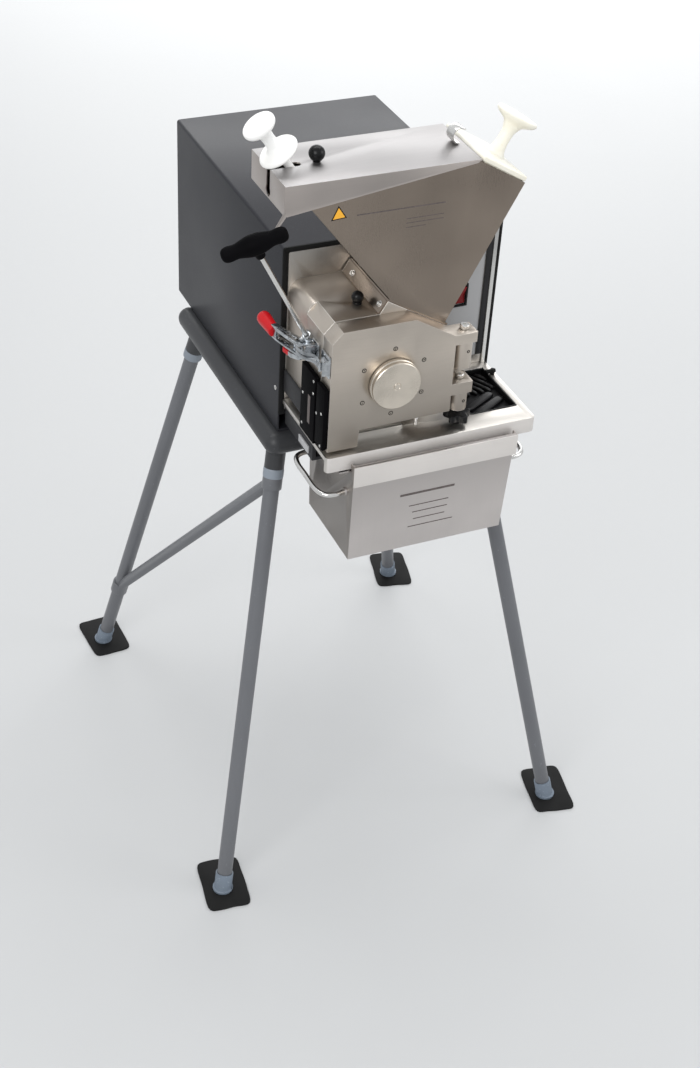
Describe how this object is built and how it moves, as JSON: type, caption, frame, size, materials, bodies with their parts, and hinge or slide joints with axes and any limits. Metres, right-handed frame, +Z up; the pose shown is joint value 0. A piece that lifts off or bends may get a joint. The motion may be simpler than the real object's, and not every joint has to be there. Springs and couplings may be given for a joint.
{
  "type": "cutting mill on stand",
  "caption": "Cutting mill on a splayed tube stand: casing with drive, knife chamber with side-hinged door, sheet hopper with pushers and a collecting drawer.",
  "frame": {"origin": "middle of the footprint's bounding rectangle, on the floor under the foot pads", "axes": "+X to the machine's right as its operator sees it, +Y to its back, +Z up"},
  "size_m": [0.7818, 0.8804, 1.4594],
  "materials": {
    "stand_paint": "satin grey paint",
    "cap_plastic": "moulded",
    "rubber": "matt",
    "casing_paint": "fine textured anthracite paint",
    "steel": "bead blasted and brushed",
    "panel_paint": "satin light grey",
    "black_plastic": "moulded",
    "red_plastic": "moulded",
    "zinc": "bright zinc plated",
    "white_plastic": "turned white plastic",
    "ivory_plastic": "turned ivory plastic",
    "motor_paint": "cast housing paint",
    "dark_box": "moulded"
  },
  "bodies": {
    "mill": {"stand_frame": "stand_paint", "leg_front_left": "stand_paint", "leg_front_right": "stand_paint", "leg_back_left": "stand_paint", "leg_back_right": "stand_paint", "foot_cap_front_left": "cap_plastic", "foot_cap_front_right": "cap_plastic", "foot_cap_back_left": "cap_plastic", "foot_cap_back_right": "cap_plastic", "foot_pad_front_left": "rubber", "foot_pad_front_right": "rubber", "foot_pad_back_left": "rubber", "foot_pad_back_right": "rubber", "brace_left": "stand_paint", "brace_right": "stand_paint", "casing_shell": "casing_paint", "casing_back": "casing_paint", "front_gasket": "rubber", "front_plate": "steel", "control_panel": "panel_paint", "motor": "motor_paint", "motor_cradle": "casing_paint", "bearing_housing": "steel", "chamber_body": "steel", "sieve_insert": "steel", "hinge_bracket": "steel", "hinge_pin_upper": "steel", "hinge_pin_lower": "steel", "table": "steel", "drawer_runner_left": "white_plastic", "drawer_runner_right": "white_plastic", "drip_mat": "rubber", "outlet_duct": "steel", "door_buffer": "rubber", "guard_lock": "black_plastic", "cable_box": "dark_box", "clamp_base": "zinc", "hopper": "steel"},
    "door": {"chamber_door": "steel", "door_centre_cap": "steel", "guard_lock_actuator": "black_plastic", "door_catch": "zinc"},
    "rotor": {"knife_rotor": "steel"},
    "rocker": {"main_switch_rocker": "red_plastic"},
    "drawer": {"collecting_drawer": "steel"},
    "clamp_lever": {"clamp_lever": "zinc", "clamp_grip": "red_plastic"},
    "clamp_hook": {"clamp_hook": "zinc"},
    "clamp_release": {"clamp_release": "red_plastic"},
    "key": {"key_rod": "steel", "key_handle": "black_plastic"},
    "lock_pin": {"lock_pin_knob": "black_plastic"},
    "cover": {"hopper_cover": "steel", "cover_knob": "black_plastic", "cover_hook": "steel"},
    "pusher_left": {"pusher_left": "white_plastic"},
    "pusher_right": {"pusher_right": "ivory_plastic"},
    "star_knob": {"star_knob": "black_plastic"}
  },
  "joints": [
    {"name": "door_hinge", "type": "hinge", "parent": "mill", "child": "door", "pos_m": [0.03823, -0.37648, 1.047], "axis": [0, 0, 1], "range_deg": [0, 110]},
    {"name": "rotor_spin", "type": "hinge", "parent": "mill", "child": "rotor", "pos_m": [-0.08527, -0.19048, 1.049], "axis": [0, 1, 0], "continuous": true},
    {"name": "switch_rock", "type": "hinge", "parent": "mill", "child": "rocker", "pos_m": [0.10823, -0.21648, 1.071], "axis": [-1, 0, 0], "range_deg": [0, 10]},
    {"name": "drawer_slide", "type": "slide", "parent": "mill", "child": "drawer", "axis": [0, -1, 0], "range_m": [0, 0.17]},
    {"name": "clamp_swing", "type": "hinge", "parent": "mill", "child": "clamp_lever", "pos_m": [-0.20777, -0.32548, 1.091], "axis": [0, 0, 1], "range_deg": [0, 95]},
    {"name": "hook_swing", "type": "hinge", "parent": "clamp_lever", "child": "clamp_hook", "pos_m": [-0.21177, -0.30848, 1.091], "axis": [0, 0, 1], "range_deg": [-100, 2]},
    {"name": "release_press", "type": "hinge", "parent": "mill", "child": "clamp_release", "pos_m": [-0.20577, -0.31448, 1.072], "axis": [0, 0, -1], "range_deg": [0, 12], "stiffness_Nm_per_rad": 0.05},
    {"name": "key_pull", "type": "slide", "parent": "mill", "child": "key", "axis": [-0.4699, -0.2051, 0.8586], "range_m": [0, 0.04]},
    {"name": "lock_pin_pull", "type": "slide", "parent": "mill", "child": "lock_pin", "axis": [0, 0, 1], "range_m": [0, 0.008], "stiffness_N_per_m": 300},
    {"name": "cover_lift", "type": "hinge", "parent": "mill", "child": "cover", "pos_m": [0.04623, -0.29848, 1.378], "axis": [0, 1, 0], "range_deg": [0, 60]},
    {"name": "pusher_left_pull", "type": "slide", "parent": "cover", "child": "pusher_left", "axis": [-0.581, 0, 0.8139], "range_m": [0, 0.04]},
    {"name": "pusher_right_lift", "type": "slide", "parent": "mill", "child": "pusher_right", "axis": [0.5045, 0, 0.8634], "range_m": [0, 0.06]},
    {"name": "star_turn", "type": "hinge", "parent": "mill", "child": "star_knob", "pos_m": [0.04323, -0.37248, 0.945], "axis": [0, 0, 1], "range_deg": [-180, 180]}
  ],
  "couplings": [
    {"joint": "hook_swing", "follows": "clamp_swing", "ratio": -1}
  ]
}
